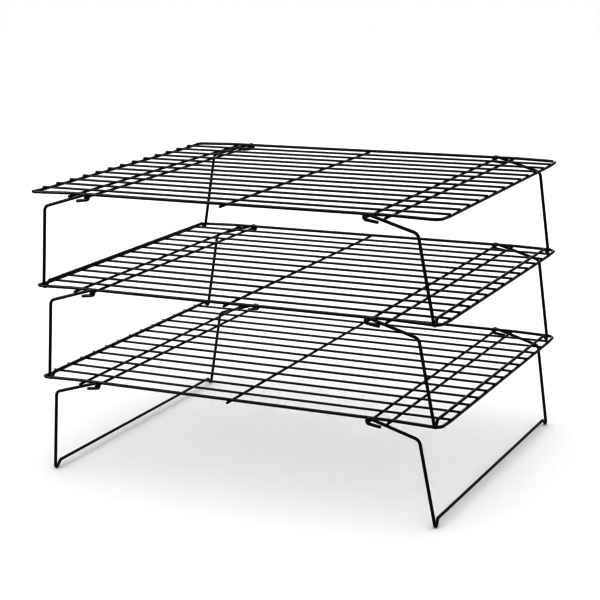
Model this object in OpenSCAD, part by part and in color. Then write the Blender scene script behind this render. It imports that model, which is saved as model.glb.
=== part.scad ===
// Three-tier stacking cooling rack for baking.
// Each tier is a welded wire rack with two folding wire legs, and each tier's legs stand on
// the grid of the tier below. All the wires are round steel with a thin non-stick coating.
// X runs along the racks, Y from front to back and Z up. The origin is on the worktop, under
// the middle of the stack.

/* [Rack] */
// Length of a rack, between the centres of its two side wires
rack_l = 400; // [340:5:460]
// Depth of a rack, between the centres of its front and back wires
rack_w = 308; // [240:4:340]
// Bend radius of the frame's corners, at the centre of the wire
corner_r = 7; // [5:1:8]
// Number of long grid wires, which share the depth equally
grid_count = 13; // [9:1:15]
// Distance of the wires that the legs hook on, from the middle of the rack
pivot_x = 137; // [120:0.5:145]
// Distance between a leg's hook wire and its stop wire
stop_gap = 17.2; // [13:0.2:18]

/* [Wires] */
// Diameter of the frame wire
frame_d = 2.6; // [2.4:0.1:3]
// Diameter of the grid wires
grid_d = 1.9; // [1.6:0.1:2.2]
// Diameter of the cross wires
cross_d = 2.2; // [2:0.1:2.4]
// Diameter of the leg wire
leg_d = 2.6; // [2.4:0.1:2.8]
// Depth that two welded wires sink into each other
weld_sink = 0.3; // [0.1:0.05:0.4]
// Length of grid wire past the centre of the frame's side
grid_overhang = 1.2; // [0.5:0.1:2]
// Length of the middle cross wire past the centre of the frame wire
centre_overhang = 4; // [2:0.5:6]

/* [Legs] */
// Vertical distance from the frame's front down to the straight bar of the foot
bar_drop = 86; // [70:0.5:95]
// Distance from the frame's front out to the plane of the hooks and arms
arm_offset = 3; // [2.9:0.1:4]
// Length of hook wire and stop wire past the plane of the arms
wire_end = 2.4; // [1.6:0.1:4]
// Distance of the elbows from the middle of the rack
elbow_x = 182.5; // [178:0.5:186]
// Distance of the foot bars from the middle of the rack
bar_x = 193; // [190:0.2:194]
// Distance of the foot's V from the frame's front, at the sharp point of the V
foot_inset = 3.4; // [3.2:0.1:6]
// Depth of the foot's V, below the bar, at its sharp point
foot_drop = 7.8; // [7:0.2:10]
// Rise of the V's inner side against its run
foot_slope = 1; // [0.7:0.05:1.3]
// Bend radius at the elbow
elbow_r = 6; // [3:0.5:9]
// Bend radius at the bottom of the V
foot_r = 2.2; // [2:0.1:3]
// Bend radius where the V meets the bar
bar_r = 4; // [2:0.5:5]
// Length of the hook's straight tail
tail_l = 11; // [5:0.5:12]
// Angle of the tail below level
tail_tilt = 8; // [0:1:20]

/* [Fit] */
// Radial gap between a hook and the wire that it turns on
hook_gap = 0.06; // [0.02:0.01:0.1]
// Gap between an arm and its stop wire, with the leg open
arm_gap = 0.05; // [0.02:0.01:0.1]
// Gap between a foot bar and the grid that it stands on
rest_gap = 0.03; // [0.02:0.01:0.1]

/* [Hidden] */
$fn = 32;
coating = "#1c1c1e";
leg_coating = "#2a2a2d";
bottom = 0;
middle = 1;
top = 2;
left = -1;
right = 1;

// Rise of the swelling where a bend meets a straight, and at a kink
seam_rise = 0.02;
kink_rise = 0.05;

// Heights of the wires' centres, from the centre of the frame's front. The frame's front and
// back lie on the cross wires, and so do the grid wires. The grid wires lie on the frame's sides.
cross_z = weld_sink - (frame_d + cross_d) / 2;
grid_z = cross_z + (cross_d + grid_d) / 2 - weld_sink;
side_z = grid_z - (grid_d + frame_d) / 2 + weld_sink;
corner_z = side_z / 2;

// The frame slopes down from just outboard of the stop wires to the outermost grid wires
grid_pitch = rack_w / (grid_count + 1);
slope_x = pivot_x + stop_gap + 5;
slope_y = rack_w / 2 - grid_pitch;

// A leg is one bent wire. Its arm lies over the hook wire and under the stop wire.
arm_y = rack_w / 2 + arm_offset;
hook_r = (cross_d + leg_d) / 2 + hook_gap;
arm_tilt = asin((hook_r + (cross_d + leg_d) / 2 + arm_gap) / stop_gap);
arm_start = [pivot_x + hook_r * sin(arm_tilt), -arm_y, cross_z + hook_r * cos(arm_tilt)];
elbow = [elbow_x, -arm_y, arm_start.z - (elbow_x - arm_start.x) * tan(arm_tilt)];
splay = (bar_x - elbow.x) / (bar_drop + elbow.z);
foot_tip = [bar_x + splay * foot_drop, foot_inset - rack_w / 2, -bar_drop - foot_drop];
bar_end = [bar_x, foot_tip.y + foot_drop / foot_slope, -bar_drop];

// Lowest point of the V's centre line, on a bend that lies in the leaning plane of the foot
foot_normal = unit(cross(foot_tip - elbow, bar_end - foot_tip));
foot_low = bend_centre(elbow, foot_tip, bar_end, foot_r).z - foot_r * sqrt(1 - pow(foot_normal.z, 2));

// Heights of the frames' fronts above the worktop
bottom_z = leg_d / 2 - foot_low;
tier_pitch = grid_z + (grid_d + leg_d) / 2 + rest_gap + bar_drop;

function tier_z(tier) = bottom_z + tier * tier_pitch;
function flip_y(p) = [p.x, -p.y, p.z];

// Geometry of one bend: the corner at p1 between p0 and p2, rounded to radius r
function unit(v) = v / norm(v);
function bend_angle(p0, p1, p2) = acos(unit(p1 - p0) * unit(p2 - p1));
function bend_trim(p0, p1, p2, r) = r * tan(bend_angle(p0, p1, p2) / 2);
function bend_centre(p0, p1, p2, r) =
    p1 + unit(unit(p2 - p1) - unit(p1 - p0)) * r / cos(bend_angle(p0, p1, p2) / 2);

// Straight round wire between two points
module straight(p, q, d) {
    run = q - p;
    translate(p)
        rotate([0, acos(run.z / norm(run)), atan2(run.y, run.x)])
            cylinder(h = norm(run), d = d);
}

// Slight swelling where two stretches of one wire meet, so that they fuse cleanly. It is a ball,
// turned so that the start of its surface faces away from the wire.
module seam(p, run, d, rise = seam_rise) {
    translate(p)
        rotate([0, 0, atan2(run.y, run.x) + 90])
            sphere(d = d + 2 * rise);
}

// Round wire bent around the corner at p1
module bend(p0, p1, p2, r, d) {
    along = unit(p1 - p0);
    centre = bend_centre(p0, p1, p2, r);
    axis = unit(cross(p1 - p0, p2 - p1));
    out = cross(along, axis);
    multmatrix([
        [out.x, along.x, axis.x, centre.x],
        [out.y, along.y, axis.y, centre.y],
        [out.z, along.z, axis.z, centre.z]
    ])
        rotate_extrude(angle = bend_angle(p0, p1, p2))
            translate([r, 0])
                circle(d = d);
}

// Round wire along the points, with one bend radius for each inner point. A radius of 0 is for
// a kink that is too slight to need a bend.
module bent_wire(points, radii, d) {
    last = len(points) - 1;
    runs = [for (i = [1 : last]) unit(points[i] - points[i - 1])];
    trims = [
        for (i = [0 : last])
            i == 0 || i == last || radii[i - 1] == 0 ? 0
                : bend_trim(points[i - 1], points[i], points[i + 1], radii[i - 1])
    ];
    for (i = [0 : last - 1])
        straight(points[i] + runs[i] * trims[i], points[i + 1] - runs[i] * trims[i + 1], d);
    for (i = [1 : last - 1])
        if (radii[i - 1] == 0)
            seam(points[i], runs[i], d, kink_rise);
        else {
            bend(points[i - 1], points[i], points[i + 1], radii[i - 1], d);
            seam(points[i] - runs[i - 1] * trims[i], runs[i - 1], d);
            seam(points[i] + runs[i] * trims[i], runs[i], d);
        }
}

// Closed rectangle of wire with its butt weld in the middle of the back
module frame_wire(tier) {
    x = rack_l / 2;
    y = rack_w / 2;
    right_half = [[slope_x, y, 0], [x, y, corner_z], [x, slope_y, side_z]];
    front_right = [for (i = [2 : -1 : 0]) flip_y(right_half[i])];
    right_side = concat(right_half, front_right);
    left_side = [for (i = [5 : -1 : 0]) [-right_side[i].x, right_side[i].y, right_side[i].z]];
    side_radii = [0, corner_r, 0, 0, corner_r, 0];
    color(coating)
        translate([0, 0, tier_z(tier)])
            bent_wire(
                concat([[0, y, 0]], right_side, left_side, [[0, y, 0]]),
                concat(side_radii, side_radii),
                frame_d
            );
}

// Straight parallel wires that the baking stands on, lying on the frame's sides
module grid_wires(tier) {
    end_x = rack_l / 2 + grid_overhang;
    color(coating)
        translate([0, 0, tier_z(tier)])
            for (i = [1 : grid_count]) {
                y = i * grid_pitch - rack_w / 2;
                straight([-end_x, y, grid_z], [end_x, y, grid_z], grid_d);
            }
}

// Straight wire from front to back under the grid, out to half_l each way
module cross_wire(tier, x, half_l) {
    color(coating)
        translate([0, 0, tier_z(tier)])
            straight([x, -half_l, cross_z], [x, half_l, cross_z], cross_d);
}

module centre_cross_wire(tier) {
    cross_wire(tier, 0, rack_w / 2 + centre_overhang);
}

// Wire that a leg's two hooks turn on
module hook_wire(tier, side) {
    cross_wire(tier, side * pivot_x, arm_y + wire_end);
}

// Wire that holds a leg's two arms down when the leg is open
module stop_wire(tier, side) {
    cross_wire(tier, side * (pivot_x + stop_gap), arm_y + wire_end);
}

// Open hook around the hook wire, with its tail, in the front plane of the arms
module leg_hook() {
    from = 90 - arm_tilt;
    to = 270 - tail_tilt;
    tail = [pivot_x + hook_r * cos(to), -arm_y, cross_z + hook_r * sin(to)];
    tail_run = [cos(tail_tilt), 0, -sin(tail_tilt)];
    straight(tail, tail + tail_l * tail_run, leg_d);
    seam(tail, tail_run, leg_d);
    seam(arm_start, elbow - arm_start, leg_d);
    translate([pivot_x, -arm_y, cross_z])
        rotate([90, 0, 0])
            rotate([0, 0, from])
                rotate_extrude(angle = to - from)
                    translate([hook_r, 0])
                        circle(d = leg_d);
}

// One folding leg, bent from one wire: hook, arm, elbow, side, V foot and bar, then the same again
module leg(tier, side) {
    half = [arm_start, elbow, foot_tip, bar_end];
    color(leg_coating)
        translate([0, 0, tier_z(tier)])
            mirror([side < 0 ? 1 : 0, 0, 0]) {
                bent_wire(
                    concat(half, [for (i = [3 : -1 : 0]) flip_y(half[i])]),
                    [elbow_r, foot_r, bar_r, bar_r, foot_r, elbow_r],
                    leg_d
                );
                leg_hook();
                mirror([0, 1, 0])
                    leg_hook();
            }
}

frame_wire(bottom);  // bottom_frame
grid_wires(bottom);  // bottom_grid_wires
centre_cross_wire(bottom);  // bottom_centre_cross_wire
hook_wire(bottom, left);  // bottom_left_hook_wire
stop_wire(bottom, left);  // bottom_left_stop_wire
hook_wire(bottom, right);  // bottom_right_hook_wire
stop_wire(bottom, right);  // bottom_right_stop_wire
leg(bottom, left);  // bottom_left_leg
leg(bottom, right);  // bottom_right_leg
frame_wire(middle);  // middle_frame
grid_wires(middle);  // middle_grid_wires
centre_cross_wire(middle);  // middle_centre_cross_wire
hook_wire(middle, left);  // middle_left_hook_wire
stop_wire(middle, left);  // middle_left_stop_wire
hook_wire(middle, right);  // middle_right_hook_wire
stop_wire(middle, right);  // middle_right_stop_wire
leg(middle, left);  // middle_left_leg
leg(middle, right);  // middle_right_leg
frame_wire(top);  // top_frame
grid_wires(top);  // top_grid_wires
centre_cross_wire(top);  // top_centre_cross_wire
hook_wire(top, left);  // top_left_hook_wire
stop_wire(top, left);  // top_left_stop_wire
hook_wire(top, right);  // top_right_hook_wire
stop_wire(top, right);  // top_right_stop_wire
leg(top, left);  // top_left_leg
leg(top, right);  // top_right_leg
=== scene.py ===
import math

import bpy
import numpy as np
from mathutils import Matrix, Vector


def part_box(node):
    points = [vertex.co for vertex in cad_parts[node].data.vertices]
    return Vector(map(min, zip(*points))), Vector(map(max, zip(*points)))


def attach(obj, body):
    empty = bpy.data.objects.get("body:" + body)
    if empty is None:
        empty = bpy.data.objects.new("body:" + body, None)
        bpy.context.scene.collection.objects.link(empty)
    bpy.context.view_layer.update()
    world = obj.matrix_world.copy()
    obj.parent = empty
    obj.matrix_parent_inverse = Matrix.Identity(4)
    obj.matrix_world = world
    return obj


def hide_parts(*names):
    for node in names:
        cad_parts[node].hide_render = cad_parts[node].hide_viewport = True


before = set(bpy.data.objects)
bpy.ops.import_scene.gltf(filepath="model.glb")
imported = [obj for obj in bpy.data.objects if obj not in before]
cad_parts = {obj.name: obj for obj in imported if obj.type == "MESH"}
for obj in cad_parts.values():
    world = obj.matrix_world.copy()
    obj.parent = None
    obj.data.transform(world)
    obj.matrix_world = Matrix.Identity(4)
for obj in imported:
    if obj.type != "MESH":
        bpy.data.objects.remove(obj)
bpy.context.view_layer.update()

# Three-tier stacking cooling rack. Every wire of the CAD model is redrawn as one smooth coated
# wire: with rounded ends, real bends, and the coating run into the corners at each weld.
# Lengths are in millimetres up to make_piece(), which scales them to metres.

MM = 0.001
TIERS = ("bottom", "middle", "top")
SIDES = {"left": -1, "right": 1}

# Wires
FRAME_R = 1.3
GRID_R = 0.95
CROSS_R = 1.1
LEG_R = 1.3
CORNER_R = 7
GRID_COUNT = 13
GRID_OVERHANG = 1.2
WELD_SINK = 0.3
SLOPE_X = 159.2
SLOPE_BEND_R = 60
KINK_RISE = 0.05
BUTT_WELD_X = 12

# Legs
ARM_OFFSET = 3
BAR_DROP = 86
ELBOW_X = 182.5
BAR_X = 193
FOOT_INSET = 3.4
FOOT_DROP = 7.8
ELBOW_R = 6
FOOT_R = 2.2
BAR_R = 4
TAIL_L = 11
TAIL_TILT = math.radians(8)
HOOK_GAP = 0.06
ARM_GAP = 0.05

# Meshing
RING_SIDES = 24
BEND_STEP = math.radians(7)
WELD_REACH = 2.6
WELD_RINGS = 17
FILLET = 0.85
FILLET_STEP = 0.02
BEND_FLATTENING = 0.09
END_ROUNDING = 0.5
CAP_RINGS = 5
RING_SPACING = 0.02
BUTT_WELD_SWELL = 0.07
BUTT_WELD_REACH = 0.7


def unit(v):
    return v / np.linalg.norm(v)


# ---------------------------------------------------------------- centre lines

def arc(centre, start, axis, angle):
    """Points on an arc from start, turning by angle about axis through centre."""
    steps = max(2, math.ceil(abs(angle) / BEND_STEP))
    arm = start - centre
    side = np.cross(axis, arm)
    along = axis * np.dot(axis, arm)
    turns = np.linspace(0, angle, steps + 1)[:, None]
    return centre + along + (arm - along) * np.cos(turns) + side * np.sin(turns)


def rounded_line(corners, radii):
    """Centre line through the corners, with one bend radius for each inner corner."""
    line = [corners[0][None]]
    for before, corner, after, r in zip(corners, corners[1:], corners[2:], radii):
        u = unit(corner - before)
        v = unit(after - corner)
        angle = math.acos(np.clip(np.dot(u, v), -1, 1))
        start = corner - u * r * math.tan(angle / 2)
        centre = corner + unit(v - u) * r / math.cos(angle / 2)
        line.append(arc(centre, start, unit(np.cross(u, v)), angle))
    line.append(corners[-1][None])
    return np.concatenate(line)


def add_rings(line, spots, reach=WELD_REACH, count=WELD_RINGS, closed=False):
    """The same line with extra points on its straights, close to each spot."""
    ends = np.roll(line, -1, axis=0) if closed else line[1:]
    out = []
    for p, q in zip(line, ends):
        run = np.linalg.norm(q - p)
        u = (q - p) / run
        places = [0]
        for spot in spots:
            if np.linalg.norm(np.cross(spot - p, u)) < FRAME_R:
                places += list(np.dot(spot - p, u) + np.linspace(-reach, reach, count))
        places = sorted(t for t in places if 0 <= t < run - 0.1)
        kept = [t for i, t in enumerate(places) if i == 0 or t - places[i - 1] > RING_SPACING]
        out += [p + u * t for t in kept]
    return np.array(out if closed else out + [line[-1]])


# ---------------------------------------------------------------- tubes

def tangents(line, closed):
    steps = np.diff(line, axis=0, append=line[:1] if closed else line[-1:])
    lengths = np.linalg.norm(steps, axis=1, keepdims=True)
    ahead = steps / np.where(lengths > 0, lengths, 1)
    if not closed:
        ahead[-1] = ahead[-2]
    behind = np.roll(ahead, 1, axis=0)
    if not closed:
        behind[0] = ahead[0]
    mean = ahead + behind
    mean /= np.linalg.norm(mean, axis=1, keepdims=True)
    spacing = (lengths + np.roll(lengths, 1, axis=0)) / 2
    curve = (ahead - behind) / np.minimum(np.where(spacing > 0, spacing, 1), 1)
    return mean, curve


def smooth_min(a, b, width):
    h = np.clip(0.5 + 0.5 * (b - a) / width, 0, 1)
    return b * (1 - h) + a * h - width * h * (1 - h)


def gap_to_wires(points, wires):
    """Distance from each point to the nearest surface of the wires (point, direction, radius)."""
    gaps = []
    for place, direction, r in wires:
        away = points - place
        away = away - (away @ direction)[..., None] * direction
        gaps.append(np.linalg.norm(away, axis=-1) - r)
    return np.min(gaps, axis=0)


def tube(line, radius, closed=False, up=(0, 0, 1), under=(), swell=None):
    """Vertices and faces of one wire. The coating flows from it on to the wires under it."""
    line = np.asarray(line, float)
    scale = np.ones(len(line))
    if not closed:
        edge = radius * END_ROUNDING
        turn = np.linspace(0, math.pi / 2, CAP_RINGS)
        inset = edge * (1 - np.cos(turn))[:, None]
        first = line[0] + unit(line[1] - line[0]) * inset
        last = line[-1] + unit(line[-2] - line[-1]) * inset
        cap = 1 - END_ROUNDING * (1 - np.sin(turn))
        clear = np.minimum(*(np.linalg.norm(line - end, axis=1) for end in (line[0], line[-1])))
        inner = line[clear > 1.1 * edge]
        line = np.concatenate([first, inner, last[::-1]])
        scale = np.concatenate([cap, np.ones(len(inner)), cap[::-1]])
    along, curve = tangents(line, closed)
    if swell is not None:
        scale = scale * swell(line)

    normals = []
    normal = np.asarray(up, float)
    for t in along:
        normal = unit(normal - t * np.dot(normal, t))
        normals.append(normal)
    normals = np.array(normals)
    sides = np.cross(along, normals)
    angles = np.linspace(0, 2 * math.pi, RING_SIDES, endpoint=False)[None, :, None]
    spokes = np.cos(angles) * normals[:, None] + np.sin(angles) * sides[:, None]

    bend = np.linalg.norm(curve, axis=1)
    inward = curve / np.where(bend > 1e-6, bend, 1)[:, None]
    flat = (BEND_FLATTENING * radius * np.minimum(bend, 0.5))[:, None, None]
    across = np.cross(along, inward)
    spokes = spokes - flat * (spokes @ inward[..., None]) * inward[:, None]
    spokes = spokes + flat / 2 * (spokes @ across[..., None]) * across[:, None]

    reach = np.broadcast_to((radius * scale)[:, None], spokes.shape[:2]).copy()
    if len(under):
        limit = reach + FILLET
        surface = reach.copy()
        for _ in range(int(FILLET / FILLET_STEP)):
            points = line[:, None] + spokes * reach[..., None]
            blend = smooth_min(reach - surface, gap_to_wires(points, under), FILLET)
            reach = np.where(blend < 0, np.minimum(reach + FILLET_STEP, limit), reach)
    vertices = (line[:, None] + spokes * reach[..., None]).reshape(-1, 3)

    rings = len(line)
    faces = []
    for i in range(rings if closed else rings - 1):
        j = (i + 1) % rings
        for k in range(RING_SIDES):
            m = (k + 1) % RING_SIDES
            faces.append([i * RING_SIDES + k, j * RING_SIDES + k, j * RING_SIDES + m, i * RING_SIDES + m])
    if not closed:
        vertices = np.concatenate([vertices, line[:1], line[-1:]])
        tip = rings * RING_SIDES
        end = (rings - 1) * RING_SIDES
        for k in range(RING_SIDES):
            m = (k + 1) % RING_SIDES
            faces.append([tip, k, m])
            faces.append([tip + 1, end + m, end + k])
    return vertices, faces


def moved(shape, offset):
    return shape[0] + np.array(offset), shape[1]


def mirrored(shape, sign):
    """The shape, mirrored left to right where sign is -1."""
    vertices, faces = shape
    if sign > 0:
        return shape
    return vertices * np.array([-1, 1, 1]), [face[::-1] for face in faces]


# The softboxes light only the pieces in this collection. The floor gets its light from the world.
LIT = bpy.data.collections.new("lit")


def make_piece(name, shapes, slot, body):
    """One object from closed shapes, standing for the CAD node of the same name."""
    vertices, faces = [], []
    for points, corners in shapes:
        start = len(vertices)
        vertices.extend((points * MM).tolist())
        faces.extend([[start + c for c in face] for face in corners])
    mesh = bpy.data.meshes.new(name)
    mesh.from_pydata(vertices, [], faces)
    mesh.validate()
    mesh.polygons.foreach_set("use_smooth", [True] * len(mesh.polygons))
    mesh.materials.append(MATERIALS[slot])
    piece = bpy.data.objects.new(name + "_wire", mesh)
    bpy.context.scene.collection.objects.link(piece)
    LIT.objects.link(piece)
    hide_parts(name)
    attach(piece, body)
    return piece


# ---------------------------------------------------------------- materials

CLOUD_TONES = (0.6, 1.5)
SPECK_TONE = 3.2
CLOUD_GLOSS = (-0.05, 0.07)
PEEL_GLOSS = (-0.03, 0.03)
COATING_IOR = 1.42
COATING_SPECULAR = 0.35
CLOUD_SCALE = 55
PEEL_SCALE = 1100
SPECK_SCALE = 3800
SPECK_SHARE = 0.25
BUMP_STRENGTH = 0.5
BUMP_DISTANCE = 0.00006


def coated_wire(name, tone, gloss, seed):
    """Black satin non-stick coating on drawn wire: faint orange peel, specks and cloudy gloss."""
    material = bpy.data.materials.new(name)
    material.use_nodes = True
    nodes = material.node_tree.nodes
    links = material.node_tree.links
    shader = nodes["Principled BSDF"]

    place = nodes.new("ShaderNodeTexCoord")
    shift = nodes.new("ShaderNodeMapping")
    shift.inputs["Location"].default_value = (seed * 0.137, seed * 0.071, seed * 0.053)
    links.new(place.outputs["Object"], shift.inputs["Vector"])

    def noise(scale, detail, rough=0.5):
        node = nodes.new("ShaderNodeTexNoise")
        node.inputs["Scale"].default_value = scale
        node.inputs["Detail"].default_value = detail
        node.inputs["Roughness"].default_value = rough
        links.new(shift.outputs["Vector"], node.inputs["Vector"])
        return node.outputs["Fac"]

    def spread(value, low, high, start=0.3, end=0.7):
        node = nodes.new("ShaderNodeMapRange")
        node.inputs["From Min"].default_value = start
        node.inputs["From Max"].default_value = end
        node.inputs["To Min"].default_value = low
        node.inputs["To Max"].default_value = high
        links.new(value, node.inputs["Value"])
        return node.outputs["Result"]

    clouds = noise(CLOUD_SCALE, 4)
    peel = noise(PEEL_SCALE, 3, 0.6)
    specks = noise(SPECK_SCALE, 2, 0.7)

    colour = nodes.new("ShaderNodeMix")
    colour.data_type = "RGBA"
    colour.inputs["A"].default_value = [CLOUD_TONES[0] * c for c in tone] + [1]
    colour.inputs["B"].default_value = [CLOUD_TONES[1] * c for c in tone] + [1]
    links.new(spread(clouds, 0, 1), colour.inputs["Factor"])
    lift = nodes.new("ShaderNodeMix")
    lift.data_type = "RGBA"
    lift.inputs["B"].default_value = [SPECK_TONE * c for c in tone] + [1]
    links.new(colour.outputs["Result"], lift.inputs["A"])
    links.new(spread(specks, 0, 0.6, 0.6, 0.75), lift.inputs["Factor"])
    links.new(lift.outputs["Result"], shader.inputs["Base Color"])

    rough = nodes.new("ShaderNodeMath")
    rough.operation = "ADD"
    links.new(spread(clouds, gloss + CLOUD_GLOSS[0], gloss + CLOUD_GLOSS[1]), rough.inputs[0])
    links.new(spread(peel, *PEEL_GLOSS), rough.inputs[1])
    links.new(rough.outputs["Value"], shader.inputs["Roughness"])

    grain = nodes.new("ShaderNodeMath")
    grain.operation = "MULTIPLY_ADD"
    links.new(specks, grain.inputs[0])
    grain.inputs[1].default_value = SPECK_SHARE
    links.new(peel, grain.inputs[2])
    bump = nodes.new("ShaderNodeBump")
    bump.inputs["Strength"].default_value = BUMP_STRENGTH
    bump.inputs["Distance"].default_value = BUMP_DISTANCE
    links.new(grain.outputs["Value"], bump.inputs["Height"])
    links.new(bump.outputs["Normal"], shader.inputs["Normal"])

    shader.inputs["IOR"].default_value = COATING_IOR
    shader.inputs["Specular IOR Level"].default_value = COATING_SPECULAR
    return material


MATERIALS = {
    "frame_wire": coated_wire("frame_coating", (0.0055, 0.0055, 0.006), 0.31, 1),
    "grid_wire": coated_wire("grid_coating", (0.005, 0.005, 0.0055), 0.34, 2),
    "leg_wire": coated_wire("leg_coating", (0.006, 0.006, 0.0065), 0.29, 3),
}


# ---------------------------------------------------------------- the wires of one rack

def node_centre(node):
    """Middle of a CAD node's box, in millimetres."""
    low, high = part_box(node)
    return np.array((low + high) / 2) / MM


def butt_weld(line):
    """Swelling of the frame wire at the weld that closes it, at the back."""
    at_back = line[:, 1] > 0
    return 1 + BUTT_WELD_SWELL * at_back * np.exp(-((line[:, 0] - BUTT_WELD_X) / BUTT_WELD_REACH) ** 2)


def frame_size(tier):
    """Half length, half depth and height of a frame's centre line. The CAD wire swells at kinks."""
    return np.array(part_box(f"{tier}_frame")[1]) / MM - FRAME_R - KINK_RISE


def build_rack(tier):
    body = f"{tier}_rack"
    half_l, half_w, z = frame_size(tier)
    x_way = np.array([1.0, 0, 0])
    y_way = np.array([0, 1.0, 0])

    cross_wires = ["centre_cross_wire"]
    cross_wires += [f"{side}_{use}_wire" for side in SIDES for use in ("hook", "stop")]
    cross_lines = []
    for wire in cross_wires:
        node = f"{tier}_{wire}"
        middle = node_centre(node)
        end = y_way * (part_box(node)[1].y / MM)
        shape = tube([middle - end, middle + end], CROSS_R)
        make_piece(node, [shape], "grid_wire", body)
        cross_lines.append(middle)
    under = [(place, y_way, CROSS_R) for place in cross_lines]

    # The frame's front and back lie on the cross wires, and its sides lie under the grid wires.
    pitch = 2 * half_w / (GRID_COUNT + 1)
    grid_z = cross_lines[0][2] + CROSS_R + GRID_R - WELD_SINK
    side_z = grid_z - GRID_R - FRAME_R + WELD_SINK
    corner = np.array([half_l, half_w, (z + side_z) / 2])
    quarter = [np.array([SLOPE_X, half_w, z]), corner, np.array([half_l, half_w - pitch, side_z])]
    right_side = quarter + [p * [1, -1, 1] for p in quarter[::-1]]
    left_side = [p * [-1, 1, 1] for p in right_side[::-1]]
    back = np.array([0, half_w, z])
    radii = [SLOPE_BEND_R, CORNER_R, SLOPE_BEND_R] * 4
    line = rounded_line([back] + right_side + left_side + [back], radii)[:-1]
    spots = [np.array([place[0], side * half_w, z]) for place in cross_lines for side in (-1, 1)]
    spots.append(np.array([BUTT_WELD_X, half_w, z]))
    line = add_rings(line, spots, closed=True)
    shape = tube(line, FRAME_R, closed=True, under=under, swell=butt_weld)
    make_piece(f"{tier}_frame", [shape], "frame_wire", body)

    end = x_way * (half_l + GRID_OVERHANG)
    middle = np.array([0, 0, grid_z])
    rail_places = [np.array([side * half_l, 0, side_z]) for side in (-1, 1)]
    spots = [place * [1, 0, 0] + middle for place in cross_lines + rail_places]
    line = add_rings(np.array([middle - end, middle + end]), spots)
    rails = [(place, y_way, FRAME_R) for place in rail_places]
    wire = tube(line, GRID_R, under=under + rails)
    rows = [moved(wire, [0, i * pitch - half_w, 0]) for i in range(1, GRID_COUNT + 1)]
    make_piece(f"{tier}_grid_wires", rows, "grid_wire", body)


# ---------------------------------------------------------------- the legs

def leg_line(pivot, half_w):
    """Centre line of a right leg, from the end of its front tail to the end of its back tail."""
    arm_y = half_w + ARM_OFFSET
    hook_r = CROSS_R + LEG_R + HOOK_GAP
    stop_gap = pivot["stop_gap"]
    tilt = math.asin((hook_r + CROSS_R + LEG_R + ARM_GAP) / stop_gap)
    px, pz = pivot["x"], pivot["z"]
    z = pivot["frame_z"]
    arm_start = np.array([px + hook_r * math.sin(tilt), -arm_y, pz + hook_r * math.cos(tilt)])
    elbow = np.array([ELBOW_X, -arm_y, arm_start[2] - (ELBOW_X - arm_start[0]) * math.tan(tilt)])
    splay = (BAR_X - ELBOW_X) / (BAR_DROP + elbow[2] - z)
    tip = np.array([BAR_X + splay * FOOT_DROP, FOOT_INSET - half_w, z - BAR_DROP - FOOT_DROP])
    bar_end = np.array([BAR_X, tip[1] + FOOT_DROP, z - BAR_DROP])

    centre = np.array([px, -arm_y, pz])
    wrap_end = 1.5 * math.pi - TAIL_TILT
    tail = centre + hook_r * np.array([math.cos(wrap_end), 0, math.sin(wrap_end)])
    tail_end = tail + TAIL_L * np.array([math.cos(TAIL_TILT), 0, -math.sin(TAIL_TILT)])
    hook = arc(centre, tail, np.array([0, 1.0, 0]), wrap_end - (math.pi / 2 - tilt))

    flip = np.array([1, -1, 1])
    half = [hook[-1], elbow, tip, bar_end]
    corners = half + [p * flip for p in half[::-1]]
    middle = rounded_line(corners, [ELBOW_R, FOOT_R, BAR_R, BAR_R, FOOT_R, ELBOW_R])
    front = np.concatenate([tail_end[None], hook[:-1]])
    return np.concatenate([front, middle, (front * flip)[::-1]])


def build_leg(tier, side, sign):
    _, half_w, frame_z = frame_size(tier)
    hook_wire = node_centre(f"{tier}_{side}_hook_wire")
    stop_wire = node_centre(f"{tier}_{side}_stop_wire")
    pivot = {
        "x": abs(hook_wire[0]),
        "z": hook_wire[2],
        "stop_gap": abs(stop_wire[0] - hook_wire[0]),
        "frame_z": frame_z,
    }
    shape = tube(leg_line(pivot, half_w), LEG_R, up=(0, 1, 0))
    name = f"{tier}_{side}_leg"
    make_piece(name, [mirrored(shape, sign)], "leg_wire", name)


for tier in TIERS:
    build_rack(tier)
    for side, sign in SIDES.items():
        build_leg(tier, side, sign)


# ---------------------------------------------------------------- studio

FLOOR_SIZE = 9
FLOOR_CLOUD_SCALE = 3
FLOOR_TONE = (0.90, 0.93)
FLOOR_ROUGHNESS = 0.9
FLOOR_SPECULAR = 0.1
SURROUND_Z = (-0.1, 1)
SURROUND_STRENGTH = (0.98, 1.34)
BACKDROP_STRENGTH = 1.0
LIGHT_TARGET = (0, 0, 0.14)
SOFTBOXES = (
    # name, place, size and power in watts
    ("back_key", (-0.8, 1.9, 1.3), 1.2, 30),
    ("overhead", (-0.4, -0.5, 1.8), 0.7, 30),
    ("left_fill", (-1.5, -1.3, 1.3), 0.7, 75),
)
CAMERA_PLACE = (0.66813, -1.33785, 0.52027)
CAMERA_AZIMUTH = 0.466
CAMERA_ELEVATION = 0.24459
CAMERA_ROLL = -0.02488
CAMERA_LENS = 96.449
CAMERA_SENSOR = 36
DISPLAY_GAMMA = 0.45


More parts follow.
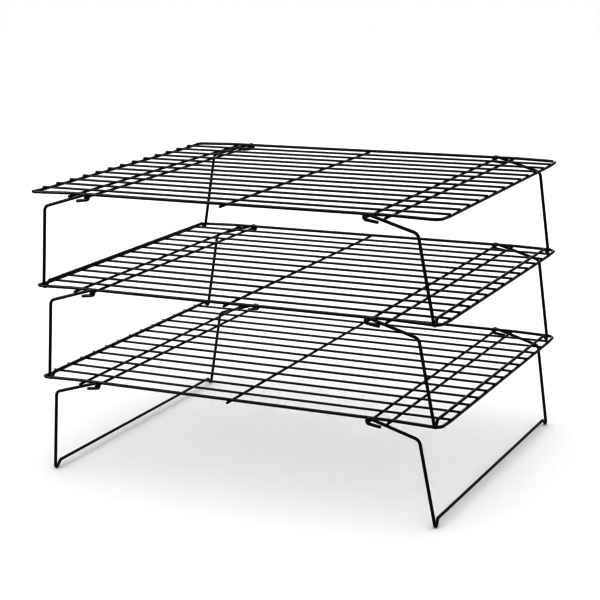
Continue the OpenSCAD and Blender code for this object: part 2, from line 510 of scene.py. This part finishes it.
def add_floor():
    """Pale studio floor with a faint cloudiness, far wider than the view."""
    bpy.ops.mesh.primitive_plane_add(size=FLOOR_SIZE)
    floor = bpy.context.object
    floor.name = "floor"
    material = bpy.data.materials.new("pale_floor")
    material.use_nodes = True
    nodes = material.node_tree.nodes
    links = material.node_tree.links
    shader = nodes["Principled BSDF"]
    clouds = nodes.new("ShaderNodeTexNoise")
    clouds.inputs["Scale"].default_value = FLOOR_CLOUD_SCALE
    ramp = nodes.new("ShaderNodeMapRange")
    ramp.inputs["To Min"].default_value, ramp.inputs["To Max"].default_value = FLOOR_TONE
    links.new(clouds.outputs["Fac"], ramp.inputs["Value"])
    links.new(ramp.outputs["Result"], shader.inputs["Base Color"])
    shader.inputs["Roughness"].default_value = FLOOR_ROUGHNESS
    shader.inputs["Specular IOR Level"].default_value = FLOOR_SPECULAR
    floor.data.materials.append(material)


def add_world():
    """Even white behind the rack, as the camera sees it. All other rays see it brighter overhead."""
    world = bpy.data.worlds.new("studio")
    bpy.context.scene.world = world
    world.use_nodes = True
    nodes = world.node_tree.nodes
    links = world.node_tree.links
    nodes.clear()
    place = nodes.new("ShaderNodeTexCoord")
    split = nodes.new("ShaderNodeSeparateXYZ")
    links.new(place.outputs["Generated"], split.inputs["Vector"])
    ramp = nodes.new("ShaderNodeMapRange")
    ramp.inputs["From Min"].default_value, ramp.inputs["From Max"].default_value = SURROUND_Z
    ramp.inputs["To Min"].default_value, ramp.inputs["To Max"].default_value = SURROUND_STRENGTH
    links.new(split.outputs["Z"], ramp.inputs["Value"])
    soft = nodes.new("ShaderNodeBackground")
    links.new(ramp.outputs["Result"], soft.inputs["Strength"])
    white = nodes.new("ShaderNodeBackground")
    white.inputs["Strength"].default_value = BACKDROP_STRENGTH
    for node in (soft, white):
        node.inputs["Color"].default_value = (1, 1, 1, 1)
    path = nodes.new("ShaderNodeLightPath")
    mix = nodes.new("ShaderNodeMixShader")
    links.new(path.outputs["Is Camera Ray"], mix.inputs["Fac"])
    links.new(soft.outputs["Background"], mix.inputs[1])
    links.new(white.outputs["Background"], mix.inputs[2])
    out = nodes.new("ShaderNodeOutputWorld")
    links.new(mix.outputs["Shader"], out.inputs["Surface"])


def add_softbox(name, place, size, power):
    """Square area light, turned to the rack, that lights only the rack and is not seen itself."""
    lamp = bpy.data.lights.new(name, "AREA")
    lamp.shape = "SQUARE"
    lamp.size = size
    lamp.energy = power
    light = bpy.data.objects.new(name, lamp)
    light.location = place
    light.visible_camera = False
    light.light_linking.receiver_collection = LIT
    light.rotation_euler = (Vector(LIGHT_TARGET) - Vector(place)).to_track_quat("-Z", "Y").to_euler()
    bpy.context.scene.collection.objects.link(light)


def add_camera():
    """Camera at the viewing angle of the photograph, with its slight roll."""
    azimuth, elevation, roll = CAMERA_AZIMUTH, CAMERA_ELEVATION, CAMERA_ROLL
    forward = Vector((
        -math.sin(azimuth) * math.cos(elevation),
        math.cos(azimuth) * math.cos(elevation),
        -math.sin(elevation),
    ))
    level = Vector((math.cos(azimuth), math.sin(azimuth), 0))
    right = Matrix.Rotation(-roll, 3, forward) @ level
    up = right.cross(forward)
    lens = bpy.data.cameras.new("camera")
    lens.lens = CAMERA_LENS
    lens.sensor_width = CAMERA_SENSOR
    camera = bpy.data.objects.new("camera", lens)
    turn = Matrix((right, up, -forward)).transposed().to_4x4()
    camera.matrix_world = Matrix.Translation(CAMERA_PLACE) @ turn
    bpy.context.scene.collection.objects.link(camera)
    bpy.context.scene.camera = camera


add_floor()
add_world()
for softbox in SOFTBOXES:
    add_softbox(*softbox)
add_camera()
bpy.context.scene.view_settings.view_transform = "Standard"
bpy.context.scene.view_settings.gamma = DISPLAY_GAMMA
